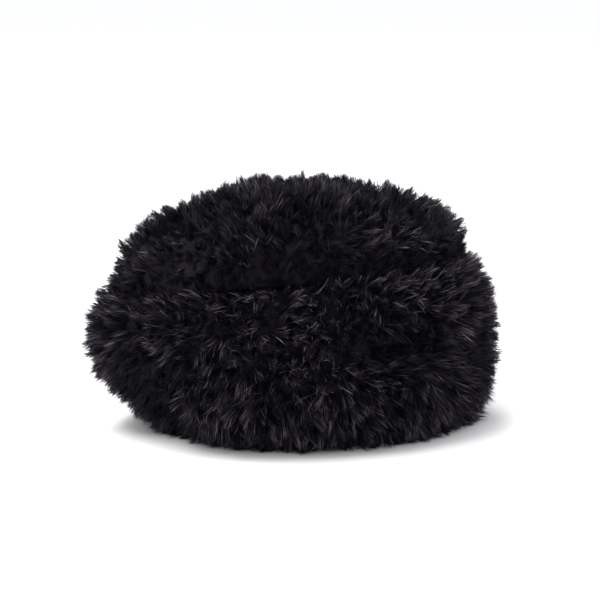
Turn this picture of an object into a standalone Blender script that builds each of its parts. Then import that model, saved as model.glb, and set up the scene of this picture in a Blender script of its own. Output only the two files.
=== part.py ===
"""A fluffy fur beanie with a deep turned-up cuff, resting on its rim.

Metres, +Z up, with the floor at Z = 0 and the front of the hat towards -Y.
The tables are in millimetres and degrees. A turn is counted anticlockwise from +X, seen from above,
so the front is at -90. An outset is how far a surface lies outside the crown's wall at that height.
"""

import math
import random
from collections import namedtuple

import bmesh
import bpy
from mathutils import Vector

MM = 0.001
SEED = 11
MERGE_DISTANCE = 0.00001

# Where the middle of the rim lies. The crown leans forward from it, so it is behind the hat's middle.
RIM_MIDDLE_X = -0.74
RIM_MIDDLE_Y = 19.03

# Cloth
WALL = 2.5                # thickness of the knitted backing of the crown and of the cuff
GAP = 0.8                 # between the backing and the pile on it, and round the crown's hem

# The crown's wall: its outer outline at each height, up to the foot of the dome
Section = namedtuple("Section", "height half_length half_width forward")
CROWN_SECTIONS = (
    Section(0.0, 97.5, 80.5, 0.0),
    Section(30.0, 106.0, 87.0, 8.0),
    Section(60.0, 116.0, 94.5, 15.0),
    Section(90.0, 124.0, 100.5, 21.0),
    Section(122.0, 125.5, 102.5, 25.0),
)
HEM_HEIGHT = 7.8          # lower edge of the crown's wall, inside the fold of the cuff
SKIRT_ROWS = 5            # rows of faces from the hem to the foot of the dome
DOME_RISE = 44.0          # from the foot of the dome to its top
DOME_FULLNESS = 2.4       # 2 would be an ellipse, and more is squarer
DOME_FORWARD = 3.0        # how much further forward the top lies than the foot of the dome
DOME_CELLS = 10           # faces across the dome

# The cuff and the crown's shoulder are lower at the front than all round
FRONT_DIP = 22.0
DIP_TURN = -100
DIP_HALF_WIDTH = 42
DIP_FROM = 30.0           # height where the dip starts

# Creases that run down from the top of the crown, where the fur is drawn together
Gather = namedtuple("Gather", "turn depth half_width")
CROWN_GATHERS = (
    Gather(-68, 9.0, 13),
    Gather(-104, 5.0, 12),
    Gather(-20, 4.0, 14),
    Gather(35, 5.0, 13),
    Gather(95, 6.0, 14),
    Gather(150, 6.0, 13),
    Gather(205, 5.0, 13),
)
WALL_SHARE = 0.45         # share of a crease or dent that the backing follows
ROOT_SHARE = 0.8          # share that the feet of the locks follow

# The cuff's wall, from the lip inside the hem, round the fold and up to the free edge
Spot = namedtuple("Spot", "outset height")
CUFF_PATH = (
    Spot(-7.4, 13.0),
    Spot(-6.8, 7.8),
    Spot(-4.6, 4.7),
    Spot(3.2, 4.7),
    Spot(6.4, 7.6),
    Spot(12.0, 14.0),
    Spot(19.0, 28.0),
    Spot(21.0, 46.0),
    Spot(17.5, 69.0),
    Spot(11.5, 93.0),
    Spot(4.6, 115.5),
)
CUFF_COLUMNS = 62

DENT_OUTSET = 12.0        # nearer to the crown than this the dents fade out

# Dents of the cuff, and one lobe that stands proud, which has a negative depth
Dent = namedtuple("Dent", "turn depth half_width height reach")
CUFF_DENTS = (
    Dent(-84, 11.0, 9, 52, 34),
    Dent(-120, -14.0, 26, 62, 46),
    Dent(-52, -3.0, 18, 60, 40),
    Dent(2, 4.0, 16, 78, 14),
    Dent(38, 4.0, 14, 62, 16),
    Dent(118, 5.0, 13, 60, 34),
    Dent(170, 4.0, 14, 56, 34),
    Dent(222, 4.0, 13, 60, 34),
)

# The pile
PILE = 25.0               # from the backing to the tips of the locks
ROOTS = 8.0               # from the backing to the feet of the locks, where they are matted
TIP_JITTER = 3.0          # seeded variation of the length of the locks, and of where they point and stand
SIDE_JITTER = 5.0
ROOT_JITTER = 2.4
CUFF_DROOP = 7.0          # how far the locks hang at the rim, and stand up at the free edge
DROOP_MIDDLE = 70.0       # height at which they do neither
CROWN_LEAN = 2.0          # how far the locks on the crown lean away from its top
LOWEST_TIP = 1.5          # the locks keep this far off the floor
LOCK_ROWS = 12            # even, because each ring of the loft is turned by half a column

# The pile's outer surface without its locks: the lip inside the rim, then the flat that it rests on
RIM_PATH = (
    Spot(-10.6, 13.6),
    Spot(-11.0, 8.0),
    Spot(-9.8, 3.2),
    Spot(-7.0, 0.0),
    Spot(11.0, 0.0),
)
# The feet of the locks on the cuff, from the flat up to the crown
ROOT_PATH = (
    Spot(11.0, 0.0),
    Spot(17.5, 4.5),
    Spot(22.0, 12.0),
    Spot(27.0, 26.0),
    Spot(29.0, 46.0),
    Spot(25.6, 70.0),
    Spot(19.5, 94.0),
    Spot(12.4, 115.0),
    Spot(7.0, 120.0),
    Spot(0.8, 119.4),
)

OVER_EDGE = Spot(0.8, 117.0)      # where the cuff's pile ends, between the cuff's free edge and the crown

# The crown's pile stays above this slope and the cuff's stays below it
PARTING_HEIGHT = 120.6
PARTING_SLOPE = 0.35
PARTING_GAP = 1.0

FUR_COLOUR = (0.012, 0.012, 0.015, 1.0)
FUR_ROUGHNESS = 0.6
KNIT_COLOUR = (0.018, 0.018, 0.020, 1.0)
KNIT_ROUGHNESS = 0.9

Ring = namedtuple("Ring", "outset height share shift tufted")


def dome_foot():
    return CROWN_SECTIONS[-1]


def clear_scene():
    for thing in list(bpy.data.objects):
        bpy.data.objects.remove(thing, do_unlink=True)


def through(rows, column, at):
    """The value of a column where the first column is `at`, on a smooth curve through the rows."""
    last = len(rows) - 2
    low = max(0, min(last, sum(row[0] <= at for row in rows) - 1))

    def slope(index):
        before, after = rows[max(index - 1, 0)], rows[min(index + 1, len(rows) - 1)]
        return (after[column] - before[column]) / (after[0] - before[0])

    start, end = rows[low], rows[low + 1]
    span = end[0] - start[0]
    t = (at - start[0]) / span
    return (
        (2 * t**3 - 3 * t**2 + 1) * start[column]
        + (t**3 - 2 * t**2 + t) * span * slope(low)
        + (3 * t**2 - 2 * t**3) * end[column]
        + (t**3 - t**2) * span * slope(low + 1)
    )


def section_at(height):
    """The crown's outline at this height, up to the foot of the dome."""
    height = min(height, dome_foot().height)
    return Section(height, *(through(CROWN_SECTIONS, column, height) for column in (1, 2, 3)))


def placed(across_x, across_y, height, forward):
    """A point in metres, from distances in millimetres off the crown's axis at that height."""
    foot = dome_foot()
    share_x, share_y = across_x / foot.half_width, across_y / foot.half_length
    share = (height - DIP_FROM) / (foot.height - DIP_FROM)
    if height > foot.height:
        share = math.hypot(share_x, share_y)
    height -= max(0, min(share, 1)) * dip_depth(math.atan2(share_y, share_x))
    return Vector((RIM_MIDDLE_X + across_x, RIM_MIDDLE_Y + across_y - forward, height)) * MM


def side_point(turn, height, outset):
    section = section_at(height)
    return placed(
        (section.half_width + outset) * math.cos(turn),
        (section.half_length + outset) * math.sin(turn),
        height,
        section.forward,
    )


def hump(turn, middle, half_width):
    """1 at the middle turn, in degrees, and falling smoothly to 0 on both sides of it."""
    away = (math.degrees(turn) - middle + 180) % 360 - 180
    return math.exp(-((away / half_width) ** 2))


def dip_depth(turn):
    """How much lower than elsewhere the foot of the dome is at this turn."""
    return FRONT_DIP * hump(turn, DIP_TURN, DIP_HALF_WIDTH)


def dent_depth(turn, height):
    return sum(
        dent.depth * hump(turn, dent.turn, dent.half_width)
        * math.exp(-(((height - dent.height) / dent.reach) ** 2))
        for dent in CUFF_DENTS
    )


def gather_depth(turn, climb):
    """climb is 0 at the top of the crown and a right angle at the foot of its dome."""
    depth = sum(g.depth * hump(turn, g.turn, g.half_width) for g in CROWN_GATHERS)
    return depth * max(math.sin(2 * min(climb, math.pi / 2)), 0.0)


def unit_dome():
    """Half a ball of even four-sided faces, made from a cube so that no faces crowd at its top."""
    dome = bmesh.new()
    bmesh.ops.create_cube(dome, size=2)
    bmesh.ops.subdivide_edges(dome, edges=dome.edges[:], cuts=DOME_CELLS - 1, use_grid_fill=True)
    under = [vertex for vertex in dome.verts if vertex.co.z < -MERGE_DISTANCE]
    bmesh.ops.delete(dome, geom=under, context="VERTS")
    for vertex in dome.verts:
        vertex.co = Vector([math.tan(side * math.pi / 4) for side in vertex.co]).normalized()
    return dome


def add_skirt(dome):
    """Rows of faces below the half ball, whose depth below it goes from 0 to 1."""
    for row in range(1, SKIRT_ROWS + 1):
        rim = [edge for edge in dome.edges if edge.is_boundary]
        made = bmesh.ops.extrude_edge_only(dome, edges=rim)["geom"]
        for vertex in made:
            if isinstance(vertex, bmesh.types.BMVert):
                vertex.co.z = -row / SKIRT_ROWS


def crown_point(place):
    """Where a point of the unit dome and its skirt lies on the smooth crown."""
    turn = math.atan2(place.y, place.x)
    foot = dome_foot()
    if place.z < -MERGE_DISTANCE:
        return side_point(turn, foot.height + (foot.height - HEM_HEIGHT) * place.z, 0.0)
    across, up = math.hypot(place.x, place.y), max(place.z, 0.0)
    reach = (across**DOME_FULLNESS + up**DOME_FULLNESS) ** (-1 / DOME_FULLNESS)
    return placed(
        foot.half_width * reach * across * math.cos(turn),
        foot.half_length * reach * across * math.sin(turn),
        foot.height + DOME_RISE * reach * up,
        foot.forward + DOME_FORWARD * reach * up,
    )


def crown_sheet(with_skirt):
    """The crown's smooth surface, facing out, with the depth of the gathers kept on its vertices."""
    sheet = unit_dome()
    if with_skirt:
        add_skirt(sheet)
    depth = sheet.verts.layers.float.new("depth")
    for vertex in sheet.verts:
        across, up = math.hypot(vertex.co.x, vertex.co.y), vertex.co.z
        if up > -MERGE_DISTANCE:
            vertex[depth] = gather_depth(math.atan2(vertex.co.y, vertex.co.x), math.atan2(across, up))
        vertex.co = crown_point(vertex.co)
    sheet.normal_update()
    return sheet, depth


def lofted(rings, columns):
    """A sheet through the rings, joined up round the hat. Where the last ring is the first, it closes."""
    rows = len(rings) - 1
    sheet = bmesh.new()
    bmesh.ops.create_grid(sheet, x_segments=columns, y_segments=rows, size=1)
    tufted = sheet.faces.layers.int.new("tufted")
    for face in sheet.faces:
        face[tufted] = rings[int((face.calc_center_median().y + 1) / 2 * rows)].tufted
    for vertex in sheet.verts:
        ring = rings[round((vertex.co.y + 1) / 2 * rows)]
        column = (vertex.co.x + 1) / 2 * columns
        turn = 2 * math.pi * (column + ring.shift) / columns
        clear_of_fold = max(0, min(ring.outset / DENT_OUTSET, 1))
        outset = ring.outset - ring.share * clear_of_fold * dent_depth(turn, ring.height)
        vertex.co = side_point(turn, ring.height, outset)
    bmesh.ops.remove_doubles(sheet, verts=sheet.verts, dist=MERGE_DISTANCE)
    return sheet, tufted


def moved_off(path, distance):
    """The path set off to its outer side, on a section through the crown's wall."""
    flat = [(section_at(spot.height).half_length + spot.outset, spot.height) for spot in path]
    spots = []
    for index, (radius, height) in enumerate(flat):
        before, after = flat[max(index - 1, 0)], flat[min(index + 1, len(flat) - 1)]
        along, up = after[0] - before[0], after[1] - before[1]
        length = math.hypot(along, up)
        radius, height = radius + distance * up / length, height - distance * along / length
        spots.append(Spot(radius - section_at(height).half_length, height))
    return spots


def evenly_along(path, rows):
    """Spots at equal steps along the path, the first and last included."""
    reached = [0.0]
    for start, end in zip(path, path[1:]):
        reached.append(reached[-1] + math.hypot(end.outset - start.outset, end.height - start.height))
    rows_of_path = [(at, spot.outset, spot.height) for at, spot in zip(reached, path)]
    steps = [reached[-1] * row / rows for row in range(rows + 1)]
    return [Spot(through(rows_of_path, 1, at), through(rows_of_path, 2, at)) for at in steps]


def parting_height(point):
    """The height that parts the two piles at this place, in metres."""
    foot = dome_foot()
    across_x = (point.x / MM - RIM_MIDDLE_X) / foot.half_width
    across_y = (point.y / MM - RIM_MIDDLE_Y + foot.forward) / foot.half_length
    outset = (math.hypot(across_x, across_y) - 1) * (foot.half_width + foot.half_length) / 2
    dip = dip_depth(math.atan2(across_y, across_x))
    return (PARTING_HEIGHT + PARTING_SLOPE * outset - dip) * MM


def keep_above_parting(point):
    point.z = max(point.z, parting_height(point) + PARTING_GAP * MM)


def keep_below_parting(point):
    point.z = min(point.z, parting_height(point) - PARTING_GAP * MM)
    point.z = max(point.z, LOWEST_TIP * MM)


def any_way(most, chance):
    return Vector([chance.uniform(-most, most) for _ in range(3)])


def along_surface(vector, normal):
    return vector - normal * vector.dot(normal)


def scatter_feet(faces, keep_clear, chance):
    """Moves the corners that only these faces share, so that the locks don't stand in rows."""
    wanted = set(faces)
    corners = {corner: None for face in faces for corner in face.verts}
    for corner in corners:
        if wanted.issuperset(corner.link_faces):
            corner.co += along_surface(any_way(ROOT_JITTER, chance), corner.normal) * MM
            keep_clear(corner.co)


def raise_locks(body, faces, lean, keep_clear, chance):
    """Draws each face out to a lock with a point."""
    scatter_feet(faces, keep_clear, chance)
    body.normal_update()
    for face in faces:
        length = PILE - ROOTS + chance.uniform(-TIP_JITTER, TIP_JITTER)
        outwards, middle = face.normal.copy(), face.calc_center_median()
        sideways = along_surface(any_way(SIDE_JITTER, chance), outwards)
        tip = bmesh.ops.poke(body, faces=[face])["verts"][0]
        tip.co = middle + (outwards * length + sideways + lean(middle)) * MM
        keep_clear(tip.co)


def new_part(name, body, colour, roughness, parts):
    mesh = bpy.data.meshes.new(name)
    body.to_mesh(mesh)
    body.free()
    part = bpy.data.objects.new(name, mesh)
    parts.objects.link(part)
    material = bpy.data.materials.new(name)
    material.use_nodes = True
    shader = material.node_tree.nodes["Principled BSDF"]
    shader.inputs["Base Color"].default_value = colour
    shader.inputs["Roughness"].default_value = roughness
    shader.inputs["Metallic"].default_value = 0.0
    mesh.materials.append(material)
    return part


def thicken_inwards(part):
    shell = part.modifiers.new("wall", "SOLIDIFY")
    shell.thickness = WALL * MM
    shell.offset = -1
    part.data.shade_smooth()


def make_crown(parts):
    sheet, depth = crown_sheet(with_skirt=True)
    for vertex in sheet.verts:
        vertex.co -= vertex.normal * WALL_SHARE * vertex[depth] * MM
    thicken_inwards(new_part("crown", sheet, KNIT_COLOUR, KNIT_ROUGHNESS, parts))


def make_crown_fur(parts, chance):
    body, depth = crown_sheet(with_skirt=False)
    outer_faces = body.faces[:]
    copy = bmesh.ops.duplicate(body, geom=body.verts[:] + body.edges[:] + body.faces[:])["geom"]
    inner = {part for part in copy if isinstance(part, bmesh.types.BMVert)}
    bmesh.ops.reverse_faces(body, faces=[part for part in copy if isinstance(part, bmesh.types.BMFace)])
    for vertex in body.verts:
        outwards = vertex.normal * (-1 if vertex in inner else 1)
        off, share = (GAP, WALL_SHARE) if vertex in inner else (ROOTS, ROOT_SHARE)
        vertex.co += outwards * (off - share * vertex[depth]) * MM
        if vertex not in inner:
            keep_above_parting(vertex.co)
    bmesh.ops.bridge_loops(body, edges=[edge for edge in body.edges if edge.is_boundary])
    body.normal_update()

    def lean(point):
        top_y = (RIM_MIDDLE_Y - dome_foot().forward - DOME_FORWARD) * MM
        return Vector((point.x - RIM_MIDDLE_X * MM, point.y - top_y, 0)).normalized() * CROWN_LEAN

    raise_locks(body, outer_faces, lean, keep_above_parting, chance)
    new_part("crown_fur", body, FUR_COLOUR, FUR_ROUGHNESS, parts)


def make_cuff(parts):
    rings = [Ring(spot.outset, spot.height, WALL_SHARE, 0.0, 0) for spot in CUFF_PATH]
    sheet, _ = lofted(rings, CUFF_COLUMNS)
    thicken_inwards(new_part("cuff", sheet, KNIT_COLOUR, KNIT_ROUGHNESS, parts))


def cuff_fur_rings():
    """The rings of the cuff's pile: down its inner side, under the rim and up its outer side."""
    inner = [OVER_EDGE] + moved_off(CUFF_PATH, GAP)[::-1]
    rings = [Ring(*spot, WALL_SHARE, 0.0, 0) for spot in inner]
    rings += [Ring(*spot, 0.0, 0.0, 0) for spot in RIM_PATH[:-1]]
    for row, spot in enumerate(evenly_along(ROOT_PATH, LOCK_ROWS)):
        rings.append(Ring(*spot, ROOT_SHARE, row / 2, int(row < LOCK_ROWS)))
    return rings + [Ring(*OVER_EDGE, WALL_SHARE, LOCK_ROWS / 2, 0)]


def make_cuff_fur(parts, chance):
    body, tufted = lofted(cuff_fur_rings(), CUFF_COLUMNS)
    bmesh.ops.recalc_face_normals(body, faces=body.faces[:])
    faces = [face for face in body.faces if face[tufted]]

    def lean(point):
        return Vector((0, 0, CUFF_DROOP * (point.z / MM / DROOP_MIDDLE - 1)))

    raise_locks(body, faces, lean, keep_below_parting, chance)
    new_part("cuff_fur", body, FUR_COLOUR, FUR_ROUGHNESS, parts)


def main():
    clear_scene()
    chance = random.Random(SEED)
    parts = bpy.data.collections.new("beanie")
    bpy.context.scene.collection.children.link(parts)
    make_crown(parts)
    make_crown_fur(parts, chance)
    make_cuff(parts)
    make_cuff_fur(parts, chance)


main()
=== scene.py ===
"""The looks of the fluffy fur beanie: its pile, strand by strand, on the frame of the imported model.

The hat's tables and sizes are in millimetres and degrees, and its meshes, the lights and the camera in
metres, +Z up, with the front towards -Y.
A turn is counted anticlockwise from +X, seen from above, so the front is at -90.
An outset is how far a surface lies outside the crown's wall at that height.
"""

import math
from collections import namedtuple

import bpy
import numpy as np
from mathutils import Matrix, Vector
from mathutils.kdtree import KDTree


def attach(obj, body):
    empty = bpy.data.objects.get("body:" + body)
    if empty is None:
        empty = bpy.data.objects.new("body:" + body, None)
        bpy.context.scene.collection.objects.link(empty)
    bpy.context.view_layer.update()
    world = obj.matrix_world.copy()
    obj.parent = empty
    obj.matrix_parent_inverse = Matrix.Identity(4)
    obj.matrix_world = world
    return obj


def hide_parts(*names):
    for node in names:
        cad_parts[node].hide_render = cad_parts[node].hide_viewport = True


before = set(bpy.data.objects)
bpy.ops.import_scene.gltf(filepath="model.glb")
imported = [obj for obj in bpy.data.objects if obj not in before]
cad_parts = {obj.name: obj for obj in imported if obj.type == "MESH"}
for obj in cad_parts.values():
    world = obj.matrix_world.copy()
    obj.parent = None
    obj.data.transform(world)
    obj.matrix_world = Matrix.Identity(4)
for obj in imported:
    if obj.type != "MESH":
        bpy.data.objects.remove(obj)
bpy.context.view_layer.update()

MM = 0.001
SEED = 23
NEAR_ZERO = 1e-9
SLOPE_STEP = 1e-3         # how far to each side of a place (u, v) the surface's slope is taken from

# The hat's form, with the same values as the solids
RIM_MIDDLE_X, RIM_MIDDLE_Y = -0.74, 19.03
WALL_GAP = 0.8            # between the knitted backing and the pile on it
Section = namedtuple("Section", "height half_length half_width forward")
CROWN_SECTIONS = (
    Section(0.0, 97.5, 80.5, 0.0),
    Section(30.0, 106.0, 87.0, 8.0),
    Section(60.0, 116.0, 94.5, 15.0),
    Section(90.0, 124.0, 100.5, 21.0),
    Section(122.0, 125.5, 102.5, 25.0),
)
FOOT = CROWN_SECTIONS[-1]
DOME_RISE, DOME_FULLNESS, DOME_FORWARD = 44.0, 2.4, 3.0
FRONT_DIP, DIP_TURN, DIP_HALF_WIDTH, DIP_FROM = 22.0, -100, 42, 30.0

# The middles of the rim and of the dome, on the floor, and of the cuff, halfway up it
RIM_MIDDLE = np.array([RIM_MIDDLE_X, RIM_MIDDLE_Y, 0])
DOME_MIDDLE = np.array([RIM_MIDDLE_X, RIM_MIDDLE_Y - FOOT.forward - DOME_FORWARD, 0])
CUFF_MIDDLE = np.array([RIM_MIDDLE_X, RIM_MIDDLE_Y - FOOT.forward / 2, 60])

Gather = namedtuple("Gather", "turn depth half_width")
CROWN_GATHERS = (
    Gather(-68, 9.0, 13),
    Gather(-104, 5.0, 12),
    Gather(-20, 4.0, 14),
    Gather(35, 5.0, 13),
    Gather(95, 6.0, 14),
    Gather(150, 6.0, 13),
    Gather(205, 5.0, 13),
)
Dent = namedtuple("Dent", "turn depth half_width height reach")    # a depth below zero makes a bulge
CUFF_DENTS = (
    Dent(-84, 11.0, 9, 52, 34),
    Dent(-120, -14.0, 26, 62, 46),
    Dent(-52, -3.0, 18, 60, 40),
    Dent(2, 4.0, 16, 78, 14),
    Dent(38, 4.0, 14, 62, 16),
    Dent(118, 5.0, 13, 60, 34),
    Dent(170, 4.0, 14, 56, 34),
    Dent(222, 4.0, 13, 60, 34),
)
DENT_OUTSET = 12.0
WALL_SHARE, ROOT_SHARE = 0.45, 0.8

Spot = namedtuple("Spot", "outset height")
CUFF_PATH = (
    Spot(-7.4, 13.0), Spot(-6.8, 7.8), Spot(-4.6, 4.7), Spot(3.2, 4.7), Spot(6.4, 7.6), Spot(12.0, 14.0),
    Spot(19.0, 28.0), Spot(21.0, 46.0), Spot(17.5, 69.0), Spot(11.5, 93.0), Spot(4.6, 115.5),
)
RIM_PATH = (Spot(-10.6, 13.6), Spot(-11.0, 8.0), Spot(-9.8, 3.2), Spot(-7.0, 0.0))
ROOT_PATH = (
    Spot(11.0, 0.0), Spot(17.5, 4.5), Spot(22.0, 12.0), Spot(27.0, 26.0), Spot(29.0, 46.0),
    Spot(25.6, 70.0), Spot(19.5, 94.0), Spot(12.4, 115.0), Spot(7.0, 120.0), Spot(0.8, 119.4),
)
OVER_EDGE = Spot(0.8, 117.0)
PARTING_HEIGHT, PARTING_SLOPE = 120.6, 0.35

# The pile
PILE, ROOTS = 25.0, 8.0   # from the backing to the tips of the strands, and to the matted underfur
RIM_PILE = 2.5            # thickness of the pile that lies pressed under the rim
RIM_ROOTS = (
    Spot(12.0, RIM_PILE), Spot(2.0, RIM_PILE), Spot(-7.0, RIM_PILE), Spot(-9.8, 4.4), Spot(-11.0, 8.0),
    Spot(-10.6, 13.0),
)


def through(rows, column, at):
    """The values of a column where the first column is `at`, on a smooth curve through the rows."""
    rows, at = np.asarray(rows, float), np.asarray(at, float)
    index = np.arange(len(rows))
    before, after = np.maximum(index - 1, 0), np.minimum(index + 1, len(rows) - 1)
    slope = (rows[after, column] - rows[before, column]) / (rows[after, 0] - rows[before, 0])
    low = np.clip(np.searchsorted(rows[:, 0], at, side="right") - 1, 0, len(rows) - 2)
    span = rows[low + 1, 0] - rows[low, 0]
    t = (at - rows[low, 0]) / span
    return (
        (2 * t**3 - 3 * t**2 + 1) * rows[low, column]
        + (t**3 - 2 * t**2 + t) * span * slope[low]
        + (3 * t**2 - 2 * t**3) * rows[low + 1, column]
        + (t**3 - t**2) * span * slope[low + 1]
    )


def unit(vectors):
    return vectors / np.maximum(np.linalg.norm(vectors, axis=-1, keepdims=True), NEAR_ZERO)


def level(vectors):
    """The vectors laid flat, of unit length."""
    return unit(vectors * np.array([1, 1, 0]))


def degrees_from(turn, middle):
    return (np.degrees(turn) - middle + 180) % 360 - 180


def hump(turn, middle, half_width):
    """1 in the middle, and towards 0 on both sides of it."""
    return np.exp(-((degrees_from(turn, middle) / half_width) ** 2))


def dip_depth(turn):
    return FRONT_DIP * hump(turn, DIP_TURN, DIP_HALF_WIDTH)


def dent_fade(dent, height):
    return np.exp(-(((height - dent.height) / dent.reach) ** 2))


def dent_depth(turn, height):
    return sum(
        dent.depth * hump(turn, dent.turn, dent.half_width) * dent_fade(dent, height)
        for dent in CUFF_DENTS
    )


def gather_depth(turn, climb):
    depth = sum(g.depth * hump(turn, g.turn, g.half_width) for g in CROWN_GATHERS)
    return depth * np.maximum(np.sin(2 * np.minimum(climb, math.pi / 2)), 0)


def placed(across_x, across_y, height, forward):
    """The point this far across from the rim's middle, moved forward and lowered by the front dip."""
    share_x, share_y = across_x / FOOT.half_width, across_y / FOOT.half_length
    share = np.where(
        height > FOOT.height,
        np.hypot(share_x, share_y),
        (height - DIP_FROM) / (FOOT.height - DIP_FROM),
    )
    height = height - np.clip(share, 0, 1) * dip_depth(np.arctan2(share_y, share_x))
    return np.stack([RIM_MIDDLE_X + across_x, RIM_MIDDLE_Y + across_y - forward, height], -1)


def side_point(turn, height, outset):
    low = np.minimum(height, FOOT.height)
    half_length, half_width, forward = (through(CROWN_SECTIONS, column, low) for column in (1, 2, 3))
    across_x, across_y = (half_width + outset) * np.cos(turn), (half_length + outset) * np.sin(turn)
    return placed(across_x, across_y, height, forward)


def cuff_point(turn, outset, height, share):
    clear_of_fold = np.clip(outset / DENT_OUTSET, 0, 1)
    return side_point(turn, height, outset - share * clear_of_fold * dent_depth(turn, height))


def smooth_crown(turn, climb):
    across, up = np.sin(climb), np.maximum(np.cos(climb), 0)
    reach = (np.abs(across)**DOME_FULLNESS + up**DOME_FULLNESS) ** (-1 / DOME_FULLNESS)
    return placed(
        FOOT.half_width * reach * across * np.cos(turn),
        FOOT.half_length * reach * across * np.sin(turn),
        FOOT.height + DOME_RISE * reach * up,
        FOOT.forward + DOME_FORWARD * reach * up,
    )


def slopes(surface, u, v):
    """The surface's two directions at (u, v), as it changes with each."""
    step = SLOPE_STEP
    return (
        (surface(u + step, v) - surface(u - step, v)) / (2 * step),
        (surface(u, v + step) - surface(u, v - step)) / (2 * step),
    )


def normals(surface, u, v):
    """Pointing out, where u runs anticlockwise round the hat and v runs from its top outwards and down."""
    along_u, along_v = slopes(surface, u, v)
    return unit(np.cross(along_v, along_u))


def crown_at(off, share):
    """The crown's surface this far off the backing, with its gathers."""
    def surface(u, v):
        turn, climb = 2 * math.pi * u, math.pi / 2 * v
        outwards = normals(lambda a, b: smooth_crown(2 * math.pi * a, math.pi / 2 * b), u, v)
        return smooth_crown(turn, climb) + outwards * (off - share * gather_depth(turn, climb))[..., None]
    return surface


def path_rows(path):
    """The path as rows of: share of its length, outset, height."""
    spots = np.array(path)
    reached = np.concatenate([[0], np.cumsum(np.linalg.norm(np.diff(spots, axis=0), axis=1))])
    return np.column_stack([reached / reached[-1], spots])


def cuff_outside(u, v):
    """The feet of the cuff's strands. v runs from the crown down to the rim."""
    rows = path_rows(ROOT_PATH)
    outset, height = through(rows, 1, 1 - v), through(rows, 2, 1 - v)
    return cuff_point(2 * math.pi * u, outset, height, ROOT_SHARE)


def under_rim(u, v):
    """The feet of the strands under the rim. v runs from its outer edge inwards and up inside it."""
    rows = path_rows(RIM_ROOTS)
    return cuff_point(2 * math.pi * u, through(rows, 1, v), through(rows, 2, v), 0.0)


def outset_and_turn(points):
    across_x = (points[..., 0] - RIM_MIDDLE_X) / FOOT.half_width
    across_y = (points[..., 1] - RIM_MIDDLE_Y + FOOT.forward) / FOOT.half_length
    outset = (np.hypot(across_x, across_y) - 1) * (FOOT.half_width + FOOT.half_length) / 2
    return outset, np.arctan2(across_y, across_x)


def parting_height(points):
    outset, turn = outset_and_turn(points)
    return PARTING_HEIGHT + PARTING_SLOPE * outset - dip_depth(turn)


def bank_height(points, slope):
    """The groove between crown and cuff: its bank starts level over the underfur and then slopes."""
    outset, turn = outset_and_turn(points)
    sway = sum(wave.height * np.sin(wave.count * turn + math.radians(wave.start)) for wave in GROOVE_WAVES)
    rise = GROOVE_RISE + sway + slope * np.maximum(outset - ROOTS, 0)
    return PARTING_HEIGHT + rise - dip_depth(turn)


def eased(value, least, zone):
    """The value, eased off within the zone above the least so that it never comes below it."""
    return np.where(value > least + zone, value, least + zone * np.exp((value - least - zone) / zone))


# Meshes

def new_mesh(name, points, corners, counts, smooth=True):
    """points in millimetres, the corners of all faces in a row, and how many each face has."""
    mesh = bpy.data.meshes.new(name)
    mesh.vertices.add(len(points))
    mesh.vertices.foreach_set("co", (np.asarray(points) * MM).astype(np.float32).ravel())
    mesh.loops.add(len(corners))
    mesh.loops.foreach_set("vertex_index", np.asarray(corners, np.int32))
    mesh.polygons.add(len(counts))
    starts = np.concatenate([[0], np.cumsum(counts)[:-1]])
    mesh.polygons.foreach_set("loop_start", starts.astype(np.int32))
    mesh.polygons.foreach_set("use_smooth", np.full(len(counts), smooth))
    mesh.update(calc_edges=True)
    return mesh


def new_piece(name, mesh, material, slot, *stands_for):
    mesh.materials.append(material)
    piece = bpy.data.objects.new(name, mesh)
    bpy.context.scene.collection.objects.link(piece)
    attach(piece, "root")
    if stands_for:
        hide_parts(*stands_for)
    return piece


def ring_faces(rings, columns, closed):
    """Four-sided faces between rings of points. Where closed, the last ring joins up with the first."""
    ring, column = np.meshgrid(np.arange(rings if closed else rings - 1), np.arange(columns), indexing="ij")
    above = (ring + 1) % rings
    beside = (column + 1) % columns
    corners = [
        ring * columns + column,
        ring * columns + beside,
        above * columns + beside,
        above * columns + column,
    ]
    return np.stack(corners, -1).reshape(-1, 4)


# The matted underfur that the strands stand in

MAT_COLUMNS = 132
MAT_BUMPS = 0.8           # how uneven the underfur is
OUTSIDE_RINGS = 44        # from the cuff's underside up to its free edge
UNEVEN_RINGS = 36         # how many of these are uneven, counted from the free edge
CROWN_RINGS = 28
CROWN_START = 0.02        # where the crown's first ring lies, as a share of the way down from its top
CROWN_MAT_ROOM = 1.0      # from the parting up to the crown's underfur


def cuff_mat_rings():
    """Down the inner side of the cuff's pile, under the rim, up the outside and over the free edge."""
    inner = [OVER_EDGE] + moved_off(CUFF_PATH, WALL_GAP)[::-1]
    rows = path_rows(ROOT_PATH)
    steps = np.linspace(0, 1, OUTSIDE_RINGS)
    outside = [Spot(*spot) for spot in zip(through(rows, 1, steps), through(rows, 2, steps))]
    shares = ((inner, WALL_SHARE), (RIM_PATH, 0.0), (outside, ROOT_SHARE))
    return [(spot, share) for path, share in shares for spot in path]


def moved_off(path, distance):
    """The path set off to its outer side, on a section through the crown's wall."""
    flat = [(float(through(CROWN_SECTIONS, 1, spot.height)) + spot.outset, spot.height) for spot in path]
    spots = []
    for index, (radius, height) in enumerate(flat):
        before, after = flat[max(index - 1, 0)], flat[min(index + 1, len(flat) - 1)]
        along, up = after[0] - before[0], after[1] - before[1]
        length = math.hypot(along, up)
        radius, height = radius + distance * up / length, height - distance * along / length
        spots.append(Spot(radius - float(through(CROWN_SECTIONS, 1, height)), height))
    return spots


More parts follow.
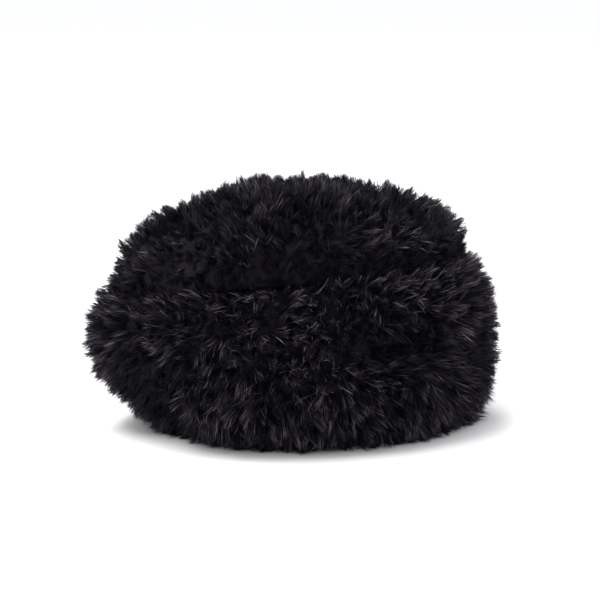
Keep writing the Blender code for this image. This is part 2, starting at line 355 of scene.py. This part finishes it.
def make_cuff_mat(material):
    chance = np.random.default_rng(SEED + 1)
    turns = np.linspace(0, 2 * math.pi, MAT_COLUMNS, endpoint=False)
    rings = np.array([
        cuff_point(turns, *(np.full(MAT_COLUMNS, value) for value in spot), share)
        for spot, share in cuff_mat_rings()
    ])
    tail = rings[-UNEVEN_RINGS:]
    tail += unit(tail - CUFF_MIDDLE) * chance.normal(0, MAT_BUMPS, tail.shape[:2])[..., None]
    rings[..., 2] = np.maximum(rings[..., 2], RIM_PILE)
    faces = ring_faces(len(rings), MAT_COLUMNS, closed=True)
    mesh = new_mesh("cuff_mat", rings.reshape(-1, 3), faces.ravel(), np.full(len(faces), 4))
    return new_piece("cuff_mat", mesh, material, "fur", "cuff_fur")


def make_crown_mat(material):
    chance = np.random.default_rng(SEED + 2)
    steps = np.linspace(CROWN_START, 1, CROWN_RINGS)
    u = np.broadcast_to(np.linspace(0, 1, MAT_COLUMNS, endpoint=False), (len(steps), MAT_COLUMNS))
    v = np.broadcast_to(steps[:, None], u.shape)
    outer = crown_at(ROOTS, ROOT_SHARE)(u, v)
    outer += normals(crown_at(ROOTS, ROOT_SHARE), u, v) * chance.normal(0, MAT_BUMPS, u.shape)[..., None]
    outer[..., 2] = np.maximum(outer[..., 2], parting_height(outer) + CROWN_MAT_ROOM)
    inner = crown_at(WALL_GAP, WALL_SHARE)(u, v)
    rings = np.concatenate([outer, inner[::-1]])
    faces = ring_faces(len(rings), MAT_COLUMNS, closed=False)[:, ::-1]
    first, last = np.arange(MAT_COLUMNS), np.arange(MAT_COLUMNS)[::-1] + (len(rings) - 1) * MAT_COLUMNS
    corners = np.concatenate([faces.ravel(), first, last])
    counts = np.concatenate([np.full(len(faces), 4), [MAT_COLUMNS, MAT_COLUMNS]])
    mesh = new_mesh("crown_mat", rings.reshape(-1, 3), corners, counts)
    return new_piece("crown_mat", mesh, material, "fur", "crown_fur")


# The strands

CLUMP_SPACING = 4.4       # between the clumps that the strands gather in, at least
LOCK_SPACING = 8.5        # between the larger locks
TRIES = 9                 # candidate places for each clump that is kept
STRANDS = 35              # in each clump
CLUMP_RADIUS = 3.6
CLUMP_LEAN = 0.36         # how far each clump leans its own way
LOCK_PULL = 0.40          # share of the way that the tips of a clump are drawn to those of its lock
SWIRL, SWIRL_WAVE = 0.34, 55.0                # how far patches of pile lean one way, and their rough size
SWIRL_COUNT, SWIRL_SPREAD = 7, (0.7, 1.5)     # how many waves make them, and how many times that size
LENGTH_SPREAD, LENGTH_LIMIT = 0.15, 1.8       # of the clumps' lengths, and at most how many times that
CUFF_AREA, CROWN_AREA, RIM_AREA = 110000, 57000, 21000    # of the surfaces with strands, roughly
CUFF_PARTS, CROWN_PARTS, RIM_PARTS = 4, 2, 1  # pieces that each pile is made in

# One strand. A pair is the least and the most, and a loose strand is one that doesn't follow its clump.
STRAND_WIDTH, WIDTH_SPREAD = 0.34, (0.7, 1.25)
STRAND_LENGTHS, LOOSE_LENGTHS = (0.92, 1.06), (0.7, 1.05)
STEPS = np.array([0.0, 0.45, 0.78, 1.0])      # where it bends, from its root to its tip
STEP_WIDTHS = np.array([0.9, 1.0, 0.85, 0.0])
SUNK = 1.5                # how far its root lies inside the underfur
TAPER = 0.34              # how much shorter it is at the edge of a clump than in its middle
GATHERED, LOOSE_GATHERED = (0.62, 0.97), (-0.2, 0.4)      # share of the way in that its tip comes
GATHER_POWER, PULL_POWER = 1.3, 1.5           # how late along the strand that happens, and the locks' pull
LOOSE_PULL = 0.3          # share of that pull on a loose strand
STRAY, GUARD_STRAY, LOOSE_STRAY = 0.05, 0.12, 0.38        # how far it leans away from its clump's direction
CLUMP_CURL, CURL = 2.5, 1.2                   # how far the tips bend aside, together and each by itself
SAG = 1.2
FLYAWAYS = 0.13           # share of the strands that are loose
GUARDS, GUARD_WIDTH = 0.24, 1.45              # share that are long, wide and light, and how much wider
CLUMP_TONE, STRAND_TONE, GUARD_TONE = 0.34, 0.36, 0.32    # how much the shades differ
GUARD_PAINTED_GLINT = 0.42        # how much lighter the guard strands are painted, a painted highlight for the glints on their fibres
PATCH_WAVE, PATCH_PAINTED_LIGHT = 60.0, 0.07          # painted light and shade in patches, for the sheen that changes as the pile leans one way or another

# The pile as a whole: how it leans, how much shorter (cut) it is, and how much darker (painted shade) or
# lighter (painted highlight) it is painted
CREASE_DEPTH = 5.8        # of the crease that the next three values are for
# the last of these is painted shade, darkening the pile in the creases and dents
CREASE_LEAN, CREASE_CUT, CREASE_PAINTED_SHADE = 1.0, 0.50, 0.50
CREASE_LIMIT = 1.2        # at most this many times the cut and the painted shade, in deep creases or where two meet
CROWN_LEAN = 0.12
VALLEY_FROM = 0.70        # where on the crown, from its top to its foot, the pile starts to shorten
# the last of these is painted shadow, darkening the crown's foot where the cuff shades it
VALLEY_LIFT, VALLEY_CUT, VALLEY_PAINTED_SHADOW = 0.8, 0.58, 0.62
CUFF_DROOP, DROOP_MIDDLE = 0.45, 70.0         # how far the cuff's pile hangs, and the height where that ends
EDGE_FROM = 0.12          # share of the way down the cuff over which its free edge's pile stands up
# the last of these is a painted highlight, lightening the pile along the cuff's free edge
EDGE_LEAN, EDGE_CUT, EDGE_PAINTED_HIGHLIGHT = 0.6, 0.10, 0.16
RIM_LEAN, RIM_CUT, RIM_PAINTED_SHADE = 1.8, 0.6, 0.9  # under the rim, where the last two are the shares that are left; the last is painted shade under the rim

# Where the strands have to end: above the floor, and at the groove between crown and cuff
FLOOR_GAP, FLOOR_ZONE = 0.4, 4.0
FLOOR_SPREAD = 0.5        # how far a strand moves outwards for each millimetre that it is lifted
CUFF_TOP_SLOPE, CROWN_FOOT_SLOPE = 0.16, 0.90             # of the two banks of the groove
CUFF_TOP_ROOM, CROWN_FOOT_ROOM = 4.5, 1.0                 # how far the strands may pass them
CUFF_TOP_ZONE, CROWN_FOOT_ZONE = 8.0, 4.0                 # over how far they ease off before that
BANK_ROUGHNESS = 2.4      # how unevenly they end there
GROOVE_RISE = 1.5
Wave = namedtuple("Wave", "height count start")
GROOVE_WAVES = (
    Wave(2.4, 3, 20), Wave(2.0, 5, 130), Wave(1.3, 8, 250), Wave(1.2, 21, 40), Wave(1.1, 34, 300),
)

# Where the strands lie in the UV map: its edge, its width and height, and the width of one strand
UV_EDGE, UV_WIDTH, UV_HEIGHT, UV_STRAND = 0.02, 0.94, 0.96, 0.015


def swirls(points, wave, chance):
    """A smooth field of vectors of about unit size that changes over the given distance."""
    count = SWIRL_COUNT
    directions = unit(chance.normal(size=(count, 3)))
    pitch = 2 * math.pi / (wave * chance.uniform(*SWIRL_SPREAD, count))
    phase = chance.uniform(0, 2 * math.pi, count)
    amounts = unit(chance.normal(size=(count, 3)))
    return np.sin(points @ (directions * pitch[:, None]).T + phase) @ amounts / math.sqrt(count / 2)


def apart(points, spacing):
    """Indices of points that are all at least this far from each other."""
    tree = KDTree(len(points))
    for index, point in enumerate(points):
        tree.insert(point, index)
    tree.balance()
    free = np.ones(len(points), bool)
    kept = []
    for index, point in enumerate(points):
        if free[index]:
            kept.append(index)
            for _, near, _ in tree.find_range(point, spacing):
                free[near] = False
    return np.array(kept)


def spread_over(surface, area_guess, spacing, chance):
    """Places (u, v) on the surface, evenly spread but in no order."""
    count = int(TRIES * area_guess / spacing**2)
    u, v = chance.random(count), chance.random(count)
    along_u, along_v = slopes(surface, u, v)
    area = np.linalg.norm(np.cross(along_u, along_v), axis=-1)
    kept = chance.random(count) < area / area.max()
    u, v = u[kept], v[kept]
    kept = apart(surface(u, v), spacing)
    return u[kept], v[kept]


def tangential(vectors, outwards):
    return vectors - outwards * (vectors * outwards).sum(-1, keepdims=True)


def clumps_on(surface, area_guess, combed, chance):
    """Foot, outward and pointing directions, length, locks' pull and painted light and shade of each clump.
    """
    u, v = spread_over(surface, area_guess, CLUMP_SPACING, chance)
    feet, outwards = surface(u, v), normals(surface, u, v)
    lean, stretch, painted_light_and_shade = combed(u, v, feet, unit(slopes(surface, u, v)[0]))
    lean = lean + SWIRL * swirls(feet, SWIRL_WAVE, chance)
    lean += CLUMP_LEAN * chance.normal(size=feet.shape)
    pointing = unit(outwards + tangential(lean, outwards))
    spread = np.clip(chance.normal(size=len(feet)), -LENGTH_LIMIT, LENGTH_LIMIT)
    lengths = (PILE - ROOTS) * (1 + LENGTH_SPREAD * spread)
    lengths *= stretch
    tips = feet + pointing * lengths[:, None]
    locks = apart(tips, LOCK_SPACING)
    tree = KDTree(len(locks))
    for index in locks:
        tree.insert(tips[index], int(index))
    tree.balance()
    nearest = np.array([tree.find(tip)[1] for tip in tips])
    pull = tangential(tips[nearest] - tips, outwards) * LOCK_PULL
    return feet, outwards, pointing, lengths, pull, painted_light_and_shade


def places_in_clump(outwards, clump, chance):
    """How each strand stands off its clump's middle, and the share of the clump that is nearer to it."""
    count = len(clump)
    side = unit(np.cross(outwards, unit(chance.normal(size=outwards.shape))))
    other = np.cross(outwards, side)
    area = chance.random(count)
    radius = CLUMP_RADIUS * np.sqrt(area)
    angle = chance.uniform(0, 2 * math.pi, count)
    off = side[clump] * (radius * np.cos(angle))[:, None] + other[clump] * (radius * np.sin(angle))[:, None]
    return off, area


def tones_of(feet, painted_light_and_shade, clump, guard, chance):
    """The shade of each strand, from 0 to 1: its clump's, its own, the painted light and shade of the patch
    it stands in and of its clump, and the guard strands' painted glint.
    """
    own = np.where(guard, GUARD_TONE, STRAND_TONE)
    tone = chance.random(len(feet))[clump] * CLUMP_TONE + chance.random(len(clump)) * own
    patch = 1 + PATCH_PAINTED_LIGHT * swirls(feet, PATCH_WAVE, chance)[:, 0]
    tone = (tone + np.where(guard, GUARD_PAINTED_GLINT, 0)) * (painted_light_and_shade * patch)[clump]
    return np.clip(tone, 0, 1)


def strands_of(clumps, limits, chance):
    """The points along each strand, its shade and relative width, and which clump it belongs to."""
    feet, outwards, pointing, lengths, pull, painted_light_and_shade = clumps
    clump = np.repeat(np.arange(len(feet)), STRANDS)
    count = len(clump)
    off, area = places_in_clump(outwards, clump, chance)
    loose = chance.random(count) < FLYAWAYS
    guard = chance.random(count) < GUARDS
    gather = np.where(loose, chance.uniform(*LOOSE_GATHERED, count), chance.uniform(*GATHERED, count))
    loose_length = chance.uniform(*LOOSE_LENGTHS, count)
    length = np.where(loose, loose_length, chance.uniform(*STRAND_LENGTHS, count) - TAPER * area)
    length = lengths[clump] * (length + np.where(guard, TAPER / 2 * area, 0))
    amount = np.where(loose, LOOSE_STRAY, np.where(guard, GUARD_STRAY, STRAY))
    stray = chance.normal(size=(count, 3)) * amount[:, None]
    direction = unit(pointing[clump] + tangential(stray, outwards[clump]))
    bend = chance.normal(size=feet.shape) * CLUMP_CURL
    curl = tangential(bend[clump] + chance.normal(size=(count, 3)) * CURL, outwards[clump])
    curl[:, 2] -= SAG
    t = STEPS[None, :, None]
    spine = (
        feet[clump][:, None] - outwards[clump][:, None] * SUNK
        + off[:, None] * (1 - gather[:, None, None] * t**GATHER_POWER)
        + direction[:, None] * (length + SUNK)[:, None, None] * t
        + (curl * (length / PILE)[:, None])[:, None] * t**2
        + np.where(loose, LOOSE_PULL, 1.0)[:, None, None] * pull[clump][:, None] * t**PULL_POWER
    )
    spine = limits(spine, outwards[clump][:, None], chance)
    tone = tones_of(feet, painted_light_and_shade, clump, guard, chance)
    return spine, tone, np.where(guard, GUARD_WIDTH, 1.0), clump


def ribbons(name, spine, tone, width, chance, material):
    """A mesh of tapered ribbons along the spines, with each point's shade and place along its strand."""
    count, steps = spine.shape[:2]
    along = np.gradient(spine, axis=1)
    side = unit(np.cross(unit(along), unit(chance.normal(size=(count, 1, 3)))))
    half = STRAND_WIDTH / 2 * STEP_WIDTHS * (width * chance.uniform(*WIDTH_SPREAD, count))[:, None]
    left, right = spine - side * half[..., None], spine + side * half[..., None]
    pairs = np.stack([left[:, :-1], right[:, :-1]], 2).reshape(count, -1, 3)
    points = np.concatenate([pairs, spine[:, -1:]], 1)
    each = points.shape[1]
    quads = np.array([[2 * i, 2 * i + 1, 2 * i + 3, 2 * i + 2] for i in range(steps - 2)]).ravel()
    face = np.concatenate([quads, [each - 3, each - 2, each - 1]])
    corners = face[None] + np.arange(count)[:, None] * each
    counts = np.tile([4] * (steps - 2) + [3], count)
    mesh = new_mesh(name, points.reshape(-1, 3), corners.ravel(), counts)
    at = np.concatenate([np.repeat(STEPS[:-1], 2), STEPS[-1:]])
    values = {"shade": np.repeat(tone, each), "along": np.tile(at, count)}
    for key, value in values.items():
        mesh.attributes.new(key, "FLOAT", "POINT").data.foreach_set("value", value.astype(np.float32))
    sideways = np.concatenate([np.tile([0.0, 1.0], steps - 1), [0.5]])
    across = UV_EDGE + UV_WIDTH * np.repeat(tone, each) + UV_STRAND * np.tile(sideways, count)
    laid = np.column_stack([across, UV_EDGE + UV_HEIGHT * np.tile(at, count)])[corners.ravel()]
    mesh.uv_layers.new(name="OFBake").data.foreach_set("uv", laid.astype(np.float32).ravel())
    return new_piece(name, mesh, material, "fur")


def ramp(value, start, end):
    """From 0 at the start to 1 at the end, smoothly."""
    t = np.clip((value - start) / (end - start), 0, 1)
    return t * t * (3 - 2 * t)


def creased(turn, around, creases, fades):
    """How the pile leans away from the creases, and how deep in them it is, from 0 to CREASE_LIMIT."""
    lean, deep = np.zeros_like(around), np.zeros(len(turn))
    for crease, fade in zip(creases, fades):
        away = degrees_from(turn, crease.turn) / crease.half_width
        here = np.exp(-(away**2)) * fade * max(crease.depth, 0) / CREASE_DEPTH
        lean += around * (CREASE_LEAN * away * here)[:, None]
        deep += here
    return lean, np.clip(deep, 0, CREASE_LIMIT)


def comb_cuff(u, v, feet, around):
    """The cuff's pile hangs at the rim, stands up at the free edge with a painted highlight, and parts at the
    dents, with painted shade in them.
    """
    height = through(path_rows(ROOT_PATH), 2, 1 - v)
    fades = [dent_fade(dent, height) for dent in CUFF_DENTS]
    lean, deep = creased(2 * math.pi * u, around, CUFF_DENTS, fades)
    edge = 1 - ramp(v, 0, EDGE_FROM)
    lean[:, 2] += CUFF_DROOP * (feet[:, 2] / DROOP_MIDDLE - 1)
    lean += level(feet - DOME_MIDDLE) * (EDGE_LEAN * edge)[:, None]
    painted_light_and_shade = (1 - CREASE_PAINTED_SHADE * deep) * (1 + EDGE_PAINTED_HIGHLIGHT * edge)
    return lean, (1 - CREASE_CUT * deep) * (1 - EDGE_CUT * edge), painted_light_and_shade


def comb_crown(u, v, feet, around):
    """The crown's pile leans away from its top, parts at the gathers with painted shade in them, and is
    shorter down by the cuff, with a painted shadow there.
    """
    fade = np.maximum(np.sin(math.pi * np.minimum(v, 1)), 0)
    lean, deep = creased(2 * math.pi * u, around, CROWN_GATHERS, [fade] * len(CROWN_GATHERS))
    valley = ramp(v, VALLEY_FROM, 1)
    lean += level(feet - DOME_MIDDLE) * CROWN_LEAN
    lean[:, 2] += VALLEY_LIFT * valley
    painted_light_and_shade = (1 - CREASE_PAINTED_SHADE * deep) * (1 - VALLEY_PAINTED_SHADOW * valley)
    return lean, (1 - CREASE_CUT * deep) * (1 - VALLEY_CUT * valley), painted_light_and_shade


def comb_rim(u, v, feet, around):
    """The pile under the rim is pressed flat and points inwards, and inside the rim it hangs. It is painted a
    little darker, as painted shade under the rim.
    """
    lean = level(RIM_MIDDLE - feet) * (RIM_LEAN * (1 - v))[:, None]
    lean[:, 2] -= v
    return lean, np.full(len(feet), RIM_CUT), np.full(len(feet), RIM_PAINTED_SHADE)


def cuff_limits(spine, outwards, chance):
    """Lays the lowest strands down on the floor and keeps the top ones under the crown's."""
    height = eased(spine[..., 2], FLOOR_GAP, FLOOR_ZONE)
    lifted = height - spine[..., 2]
    spine = spine + level(outwards) * (FLOOR_SPREAD * lifted)[..., None]
    spare = CUFF_TOP_ROOM + chance.normal(0, BANK_ROUGHNESS, (len(spine), 1))
    room = bank_height(spine, CUFF_TOP_SLOPE) + spare - height
    spine[..., 2] = height + room - eased(room, 0.0, CUFF_TOP_ZONE)
    return spine


def rim_limits(spine, outwards, chance):
    """Keeps the strands under the rim off the floor."""
    spine[..., 2] = eased(spine[..., 2], FLOOR_GAP, RIM_PILE / 2)
    return spine


def crown_limits(spine, outwards, chance):
    """Keeps the crown's lowest strands above the groove."""
    spare = CROWN_FOOT_ROOM + chance.normal(0, BANK_ROUGHNESS / 2, (len(spine), 1))
    room = spine[..., 2] - bank_height(spine, CROWN_FOOT_SLOPE) + spare
    spine[..., 2] += eased(room, 0.0, CROWN_FOOT_ZONE) - room
    return spine


def make_pile(name, surface, area_guess, combed, limits, parts, material, seed):
    """The strands on a surface, in so many pieces round the hat."""
    chance = np.random.default_rng(seed)
    clumps = clumps_on(surface, area_guess, combed, chance)
    spine, tone, width, clump = strands_of(clumps, limits, chance)
    feet = clumps[0][clump]
    turn = np.arctan2(feet[:, 1] - RIM_MIDDLE_Y + FOOT.forward, feet[:, 0] - RIM_MIDDLE_X)
    part = np.floor((turn / (2 * math.pi) % 1) * parts).astype(int)
    for index in range(parts):
        mine = part == index
        ribbons(f"{name}_{index + 1}", spine[mine], tone[mine], width[mine], chance, material)


# Materials. The tones are places along a ramp, from 0 to 1, and their colours.

FUR_TONES = (
    (0.0, (0.0056, 0.0048, 0.0066, 1)),
    (0.50, (0.0084, 0.0072, 0.0098, 1)),
    # the two lightest tones, reached mostly by the guard strands, are partly the strands' lighter tone and
    # partly painted highlights for the glints on the fibres
    (0.75, (0.044, 0.038, 0.050, 1)),
    (1.0, (0.204, 0.180, 0.228, 1)),
)
FUR_SHEEN = (0.92, 0.85, 1.0, 1)
MAT_TONES = ((0.0, (0.0042, 0.0036, 0.0050, 1)), (1.0, (0.0130, 0.0112, 0.0154, 1)))
KNIT_TONES = ((0.0, (0.012, 0.012, 0.014, 1)), (1.0, (0.040, 0.039, 0.044, 1)))
FLOOR_TONES = ((0.0, (0.91, 0.91, 0.91, 1)), (1.0, (0.93, 0.93, 0.93, 1)))


def set_inputs(node, settings):
    for name, value in settings.items():
        node.inputs[name].default_value = value


def add_node(tree, kind, settings=()):
    node = tree.nodes.new(kind)
    set_inputs(node, dict(settings))
    return node


def add_tones(tree, value, tones):
    """The colour that a value from 0 to 1 has on a ramp of tones."""
    ramp_node = tree.nodes.new("ShaderNodeValToRGB")
    elements = ramp_node.color_ramp.elements
    elements[0].color = tones[0][1]
    elements[1].color = tones[-1][1]
    for place, colour in tones[1:-1]:
        elements.new(place).color = colour
    tree.links.new(value, ramp_node.inputs["Fac"])
    return ramp_node.outputs["Color"]


def add_bump(tree, shader, height, distance):
    bump = add_node(tree, "ShaderNodeBump", {"Distance": distance})
    tree.links.new(height, bump.inputs["Height"])
    tree.links.new(bump.outputs["Normal"], shader.inputs["Normal"])


def new_material(name, settings):
    """A material with these settings, its node tree and its shader."""
    material = bpy.data.materials.new(name)
    material.use_nodes = True
    shader = material.node_tree.nodes["Principled BSDF"]
    set_inputs(shader, settings)
    return material, material.node_tree, shader


def fur_material():
    """Near black with a cool tint, with painted shade darkening it towards the roots, and each strand in its
    own shade.
    """
    settings = {"Roughness": 0.5, "Specular IOR Level": 0.18, "Specular Tint": FUR_SHEEN}
    material, tree, shader = new_material("fur_strands", settings)
    shade = tree.nodes.new("ShaderNodeAttribute")
    shade.attribute_name = "shade"
    along = tree.nodes.new("ShaderNodeAttribute")
    along.attribute_name = "along"
    # painted shade deep in the pile: the colour falls to a tenth towards the roots
    depth = add_node(tree, "ShaderNodeMapRange", {"From Min": 0.2, "From Max": 0.95, "To Min": 0.1})
    tree.links.new(along.outputs["Fac"], depth.inputs["Value"])
    mixed = tree.nodes.new("ShaderNodeMix")
    mixed.data_type, mixed.blend_type = "RGBA", "MULTIPLY"
    mixed.inputs["Factor"].default_value = 1.0
    tree.links.new(add_tones(tree, shade.outputs["Fac"], FUR_TONES), mixed.inputs["A"])
    tree.links.new(depth.outputs["Result"], mixed.inputs["B"])
    tree.links.new(mixed.outputs["Result"], shader.inputs["Base Color"])
    return material


def mat_material():
    """Matted underfur: almost black, with fine streaks."""
    settings = {"Roughness": 0.9, "Specular IOR Level": 0.05}
    material, tree, shader = new_material("fur_mat", settings)
    coordinates = add_node(tree, "ShaderNodeTexCoord")
    noise = add_node(tree, "ShaderNodeTexNoise", {"Scale": 900, "Detail": 3})
    tree.links.new(coordinates.outputs["Object"], noise.inputs["Vector"])
    tree.links.new(add_tones(tree, noise.outputs["Fac"], MAT_TONES), shader.inputs["Base Color"])
    add_bump(tree, shader, noise.outputs["Fac"], distance=0.001)
    return material


def knit_material():
    """The knitted backing inside: ribs of stitches that run up the hat."""
    material, tree, shader = new_material("knit_backing", {"Roughness": 0.85})
    coordinates = add_node(tree, "ShaderNodeTexCoord")
    noise = add_node(tree, "ShaderNodeTexNoise", {"Scale": 350, "Detail": 4})
    tree.links.new(coordinates.outputs["Object"], noise.inputs["Vector"])
    ribs = add_node(tree, "ShaderNodeTexWave", {"Scale": 180, "Distortion": 3})
    ribs.wave_type, ribs.bands_direction = "BANDS", "Z"
    tree.links.new(coordinates.outputs["Object"], ribs.inputs["Vector"])
    tree.links.new(add_tones(tree, noise.outputs["Fac"], KNIT_TONES), shader.inputs["Base Color"])
    add_bump(tree, shader, ribs.outputs["Fac"], distance=0.0012)
    return material


def finish_backing(material):
    for name in ("crown", "cuff"):
        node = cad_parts[name]
        for slot in node.material_slots:
            slot.material = material
        if not node.material_slots:
            node.data.materials.append(material)


# The floor, the light and the camera, in metres

FLOOR_HALF = 60.0
SKY_COLOUR = (0.98, 0.985, 1.0, 1)
HORIZON_GLOW, SKY_GLOW, GLOW_HEIGHT = 1.02, 1.10, 0.5    # the horizon is as bright as the floor far away
Light = namedtuple("Light", "name place size power")
LIGHTS = (
    Light("top_softbox", (-0.1, -1.0, 2.5), 1.4, 71),
    Light("back_softbox", (-1.6, 0.9, 1.9), 1.0, 36),
)
LIGHT_TARGET = (0, 0, 0.09)


def make_floor():
    settings = {"Roughness": 0.8, "Specular IOR Level": 0}
    material, tree, shader = new_material("pale_floor", settings)
    noise = add_node(tree, "ShaderNodeTexNoise", {"Scale": 3})
    tree.links.new(add_tones(tree, noise.outputs["Fac"], FLOOR_TONES), shader.inputs["Base Color"])
    mesh = bpy.data.meshes.new("floor")
    h = FLOOR_HALF
    mesh.from_pydata([(-h, -h, 0), (h, -h, 0), (h, h, 0), (-h, h, 0)], [], [(0, 1, 2, 3)])
    mesh.materials.append(material)
    floor = bpy.data.objects.new("floor", mesh)
    bpy.context.scene.collection.objects.link(floor)


def aim(thing, place, target):
    thing.location = place
    thing.rotation_euler = (Vector(target) - Vector(place)).to_track_quat("-Z", "Y").to_euler()


def add_light(light):
    lamp = bpy.data.lights.new(light.name, "AREA")
    lamp.shape, lamp.size, lamp.energy = "SQUARE", light.size, light.power
    thing = bpy.data.objects.new(light.name, lamp)
    bpy.context.scene.collection.objects.link(thing)
    aim(thing, light.place, LIGHT_TARGET)


def light_studio():
    """A pale sky that is a little brighter higher up, and the softboxes."""
    world = bpy.data.worlds.new("studio")
    world.use_nodes = True
    tree = world.node_tree
    background = tree.nodes["Background"]
    background.inputs["Color"].default_value = SKY_COLOUR
    direction = add_node(tree, "ShaderNodeTexCoord")
    split = add_node(tree, "ShaderNodeSeparateXYZ")
    glows = {"From Max": GLOW_HEIGHT, "To Min": HORIZON_GLOW, "To Max": SKY_GLOW}
    glow = add_node(tree, "ShaderNodeMapRange", glows)
    tree.links.new(direction.outputs["Generated"], split.inputs["Vector"])
    tree.links.new(split.outputs["Z"], glow.inputs["Value"])
    tree.links.new(glow.outputs["Result"], background.inputs["Strength"])
    bpy.context.scene.world = world
    for light in LIGHTS:
        add_light(light)


CAMERA_TURN, CAMERA_ELEVATION, CAMERA_DISTANCE = 57.0, 10.0, 1.5
FIELD_WIDTH = 0.455       # how wide a view the frame takes in at the hat's middle
TARGET = (0.0, 0.0, 0.092)
SENSOR_WIDTH = 36.0       # in millimetres


def place_camera():
    camera = bpy.data.cameras.new("camera")
    camera.sensor_width = SENSOR_WIDTH
    camera.lens = SENSOR_WIDTH * CAMERA_DISTANCE / FIELD_WIDTH
    thing = bpy.data.objects.new("camera", camera)
    bpy.context.scene.collection.objects.link(thing)
    turn, up = math.radians(CAMERA_TURN), math.radians(CAMERA_ELEVATION)
    towards = Vector((math.sin(turn) * math.cos(up), -math.cos(turn) * math.cos(up), math.sin(up)))
    aim(thing, Vector(TARGET) + towards * CAMERA_DISTANCE, TARGET)
    bpy.context.scene.camera = thing


def main():
    place_camera()
    light_studio()
    make_floor()
    finish_backing(knit_material())
    mat, fur = mat_material(), fur_material()
    make_crown_mat(mat)
    make_cuff_mat(mat)
    crown_outside = crown_at(ROOTS, ROOT_SHARE)
    make_pile("cuff_pile", cuff_outside, CUFF_AREA, comb_cuff, cuff_limits, CUFF_PARTS, fur, SEED + 3)
    make_pile("crown_pile", crown_outside, CROWN_AREA, comb_crown, crown_limits, CROWN_PARTS, fur, SEED + 4)
    make_pile("rim_pile", under_rim, RIM_AREA, comb_rim, rim_limits, RIM_PARTS, fur, SEED + 5)
    bpy.context.scene.view_settings.view_transform = "Standard"


main()
